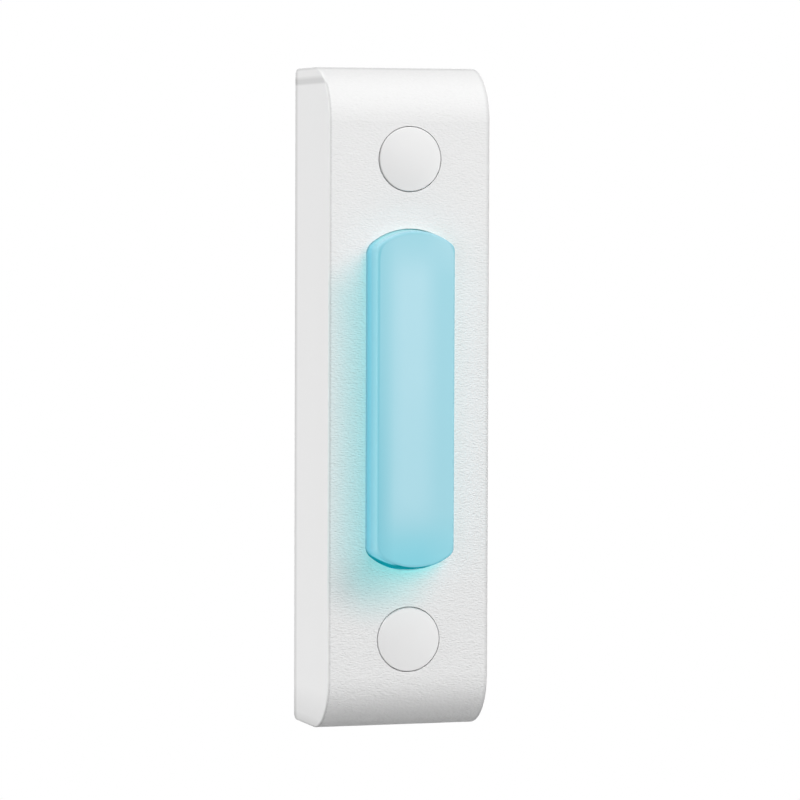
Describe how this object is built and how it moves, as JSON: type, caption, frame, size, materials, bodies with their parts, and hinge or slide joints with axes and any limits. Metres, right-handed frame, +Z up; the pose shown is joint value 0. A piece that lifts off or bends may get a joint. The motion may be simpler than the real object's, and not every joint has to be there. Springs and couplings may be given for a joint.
{
  "type": "doorbell push button",
  "caption": "Slim upright wired doorbell button: white casing with rounded ends, a long lighted bar button that presses in, and domed caps over the wall screws.",
  "frame": {"origin": "centre of the back face, on the wall plane, half way up the casing", "axes": "+Z up the casing, +X to the right seen from the front, +Y into the wall; the button faces -Y"},
  "size_m": [0.0226, 0.0192, 0.0888],
  "materials": {
    "casing_white": "satin",
    "base_white": "matte",
    "light_bar": "satin",
    "cap_white": "satin",
    "spring_steel": "satin",
    "board_green": "satin",
    "spring_bronze": "satin",
    "contact_brass": "satin",
    "contact_silver": "polished",
    "lamp_white": "satin",
    "chip_ceramic": "matte",
    "chip_black": "matte",
    "plated_steel": "satin"
  },
  "bodies": {
    "housing": {"front_cover": "casing_white", "back_plate": "base_white", "screw_cap_upper": "cap_white", "screw_cap_lower": "cap_white", "return_spring_upper": "spring_steel", "return_spring_lower": "spring_steel", "circuit_board": "board_green", "moving_contact_leaf": "spring_bronze", "fixed_contact": "contact_brass", "fixed_contact_point": "contact_silver", "contact_rivets": "contact_brass", "led_upper": "lamp_white", "led_lower": "lamp_white", "series_resistor": "chip_ceramic", "rectifier_diode": "chip_black", "terminal_strip_upper": "contact_brass", "terminal_strip_lower": "contact_brass", "wire_clamp_upper": "plated_steel", "wire_clamp_lower": "plated_steel", "terminal_screws": "plated_steel"},
    "button": {"push_button": "light_bar"}
  },
  "joints": [
    {"name": "button_press", "type": "slide", "parent": "housing", "child": "button", "axis": [0, 1, 0], "range_m": [0, 0.0015], "stiffness_N_per_m": 400, "springref_m": -0.004, "deforming": ["return_spring_upper", "return_spring_lower", "moving_contact_leaf"]}
  ]
}
